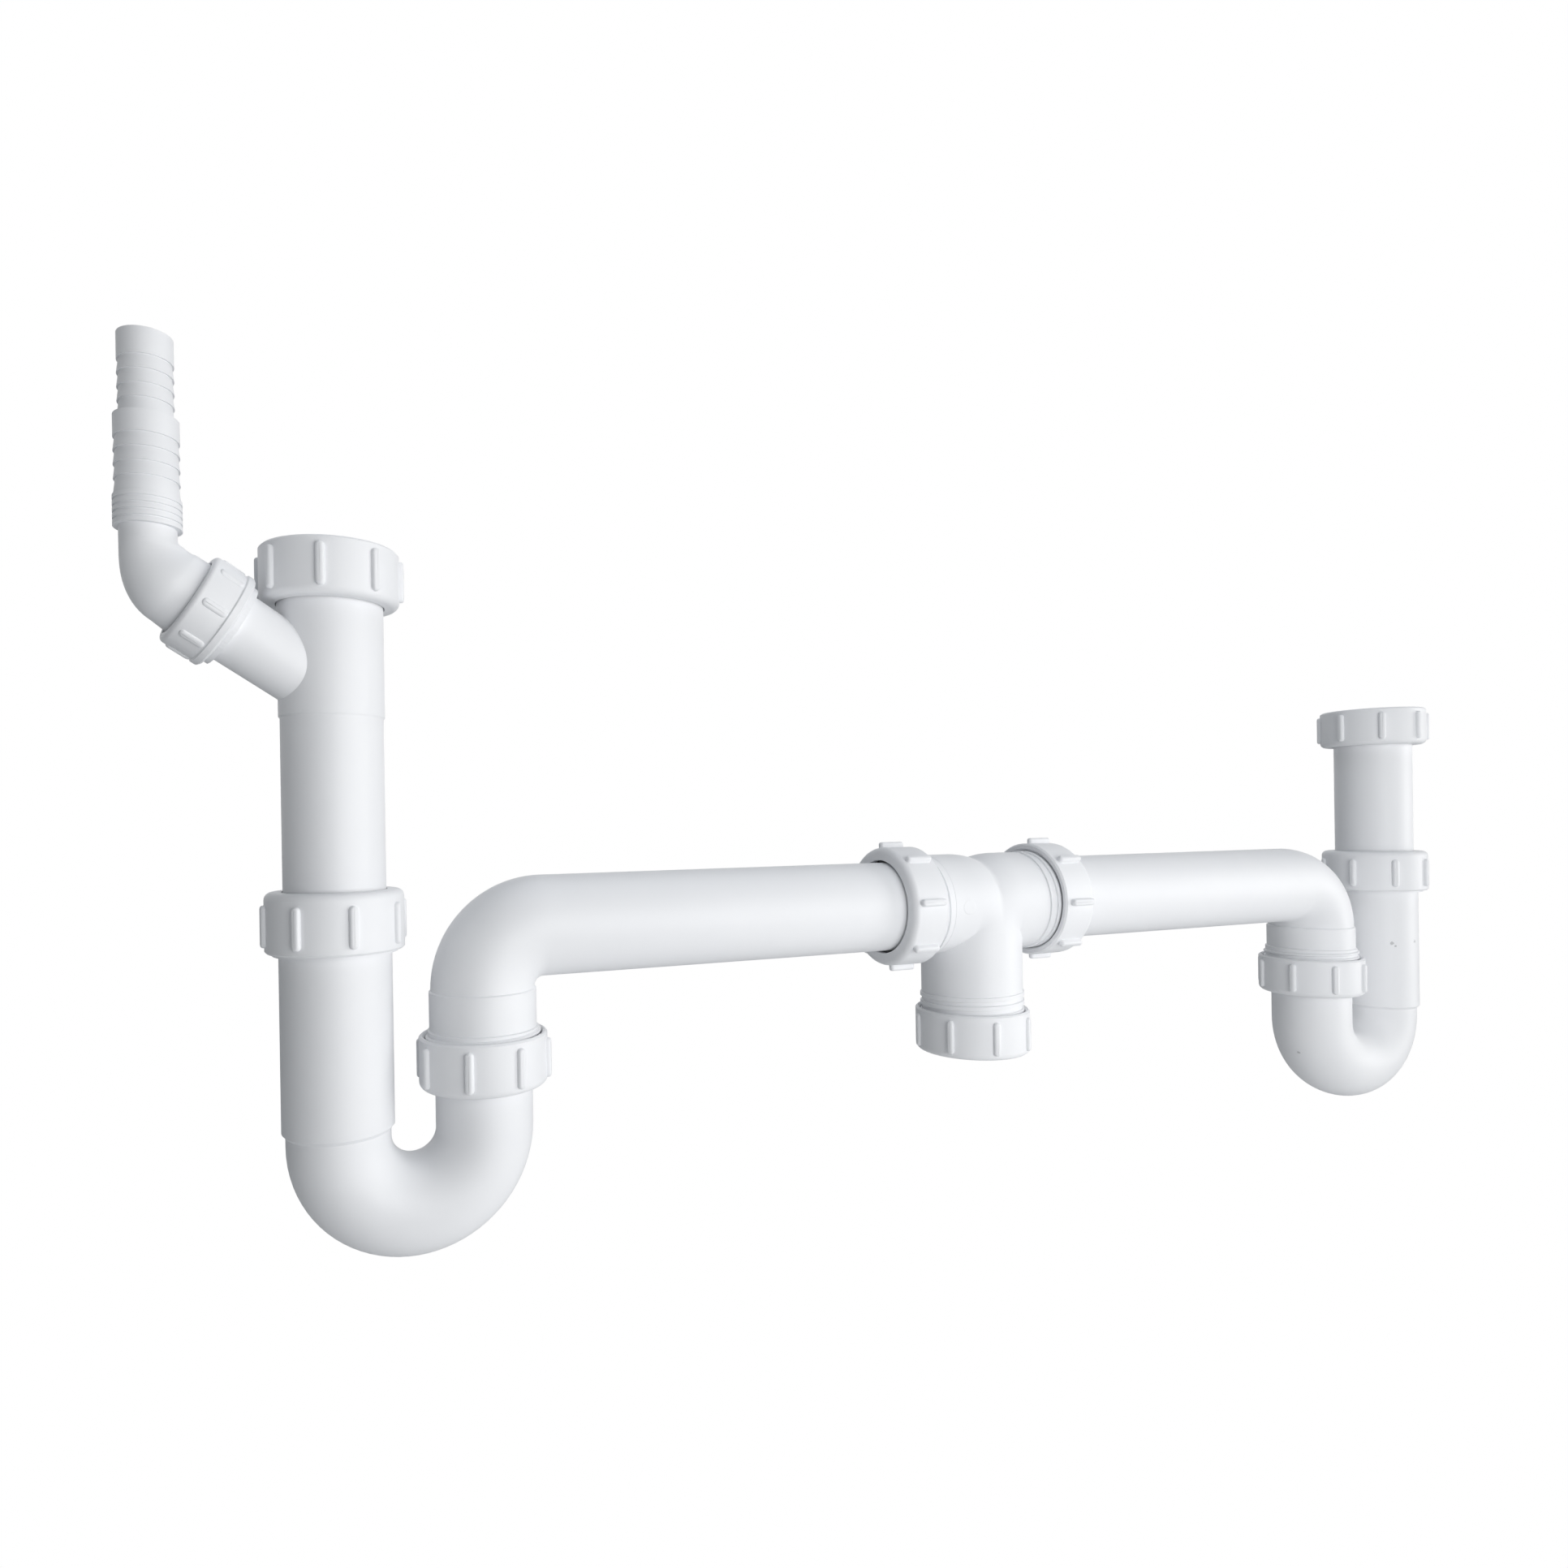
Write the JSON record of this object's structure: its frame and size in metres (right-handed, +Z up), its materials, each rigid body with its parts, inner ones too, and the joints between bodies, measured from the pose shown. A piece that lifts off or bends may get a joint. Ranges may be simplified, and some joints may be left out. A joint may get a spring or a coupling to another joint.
{
  "type": "double bowl sink trap",
  "caption": "White plastic double bowl sink trap: two tubular U-bend traps joined by arms and a swept tee to one outlet, with a barbed hose nozzle on one inlet.",
  "frame": {"origin": "on the outlet's axis, where the bore of the outlet socket meets the seat of its seal", "axes": "+X along the arms towards the right-hand trap, +Z up, -Y to the front"},
  "size_m": [0.7185, 0.0657, 0.3483],
  "materials": {
    "white_plastic": "satin moulded polypropylene",
    "ring_plastic": "waxy natural polyethylene",
    "rubber_seal": "matte moulded rubber"
  },
  "bodies": {
    "tee": {"tee": "white_plastic", "left_tee_ring": "ring_plastic", "left_tee_seal": "rubber_seal", "right_tee_ring": "ring_plastic", "right_tee_seal": "rubber_seal", "outlet_ring": "ring_plastic", "outlet_seal": "rubber_seal"},
    "left_arm": {"left_outlet_arm": "white_plastic"},
    "left_trap": {"left_u_bend": "white_plastic", "left_riser_washer": "rubber_seal", "left_slip_ring": "ring_plastic", "left_slip_seal": "rubber_seal"},
    "left_inlet": {"left_inlet_tube": "white_plastic", "left_inlet_washer": "rubber_seal", "nozzle_seal": "rubber_seal"},
    "left_tee_nut": {"left_tee_nut": "white_plastic"},
    "left_riser_nut": {"left_riser_nut": "white_plastic"},
    "left_slip_nut": {"left_slip_nut": "white_plastic"},
    "left_inlet_nut": {"left_inlet_nut": "white_plastic"},
    "right_arm": {"right_outlet_arm": "white_plastic"},
    "right_trap": {"right_u_bend": "white_plastic", "right_riser_washer": "rubber_seal", "right_slip_ring": "ring_plastic", "right_slip_seal": "rubber_seal"},
    "right_inlet": {"right_inlet_tube": "white_plastic", "right_inlet_washer": "rubber_seal"},
    "right_tee_nut": {"right_tee_nut": "white_plastic"},
    "right_riser_nut": {"right_riser_nut": "white_plastic"},
    "right_slip_nut": {"right_slip_nut": "white_plastic"},
    "right_inlet_nut": {"right_inlet_nut": "white_plastic"},
    "outlet_nut": {"outlet_nut": "white_plastic"},
    "nozzle_nut": {"nozzle_nut": "white_plastic"},
    "nozzle": {"hose_nozzle": "white_plastic"}
  },
  "joints": [
    {"name": "left_arm_slide", "type": "slide", "parent": "tee", "child": "left_arm", "axis": [-1, 0, 0], "range_m": [-0.005, 0.01]},
    {"name": "left_trap_swivel", "type": "hinge", "parent": "left_arm", "child": "left_trap", "pos_m": [-0.2502, 0, 0], "axis": [0, 0, 1], "range_deg": [-110, 110]},
    {"name": "left_inlet_slide", "type": "slide", "parent": "left_trap", "child": "left_inlet", "axis": [0, 0, 1], "range_m": [-0.045, 0.015]},
    {"name": "left_tee_nut_turn", "type": "hinge", "parent": "tee", "child": "left_tee_nut", "pos_m": [-0.054, 0, 0.0663], "axis": [-1, 0, 0], "continuous": true},
    {"name": "left_riser_nut_turn", "type": "hinge", "parent": "left_arm", "child": "left_riser_nut", "pos_m": [-0.2502, 0, 0.0013], "axis": [0, 0, 1], "continuous": true},
    {"name": "left_slip_nut_turn", "type": "hinge", "parent": "left_trap", "child": "left_slip_nut", "pos_m": [-0.3084, 0, 0.0663], "axis": [0, 0, 1], "continuous": true},
    {"name": "left_inlet_nut_turn", "type": "hinge", "parent": "left_inlet", "child": "left_inlet_nut", "pos_m": [-0.3084, 0, 0.2183], "axis": [0, 0, 1], "continuous": true},
    {"name": "right_arm_slide", "type": "slide", "parent": "tee", "child": "right_arm", "axis": [1, 0, 0], "range_m": [-0.005, 0.01]},
    {"name": "right_trap_swivel", "type": "hinge", "parent": "right_arm", "child": "right_trap", "pos_m": [0.2502, 0, 0], "axis": [0, 0, 1], "range_deg": [-110, 110]},
    {"name": "right_inlet_slide", "type": "slide", "parent": "right_trap", "child": "right_inlet", "axis": [0, 0, 1], "range_m": [-0.045, 0.015]},
    {"name": "right_tee_nut_turn", "type": "hinge", "parent": "tee", "child": "right_tee_nut", "pos_m": [0.054, 0, 0.0663], "axis": [1, 0, 0], "continuous": true},
    {"name": "right_riser_nut_turn", "type": "hinge", "parent": "right_arm", "child": "right_riser_nut", "pos_m": [0.2502, 0, 0.0013], "axis": [0, 0, 1], "continuous": true},
    {"name": "right_slip_nut_turn", "type": "hinge", "parent": "right_trap", "child": "right_slip_nut", "pos_m": [0.3084, 0, 0.0663], "axis": [0, 0, 1], "continuous": true},
    {"name": "right_inlet_nut_turn", "type": "hinge", "parent": "right_inlet", "child": "right_inlet_nut", "pos_m": [0.3084, 0, 0.1713], "axis": [0, 0, 1], "continuous": true},
    {"name": "outlet_nut_turn", "type": "hinge", "parent": "tee", "child": "outlet_nut", "pos_m": [0, 0, 0], "axis": [0, 0, 1], "continuous": true},
    {"name": "nozzle_nut_turn", "type": "hinge", "parent": "left_inlet", "child": "nozzle_nut", "pos_m": [-0.3084, 0, 0.1633], "axis": [-0.8236, -0.2676, 0.5], "continuous": true},
    {"name": "nozzle_swivel", "type": "hinge", "parent": "left_inlet", "child": "nozzle", "pos_m": [-0.3084, 0, 0.1633], "axis": [-0.8236, -0.2676, 0.5], "continuous": true}
  ]
}
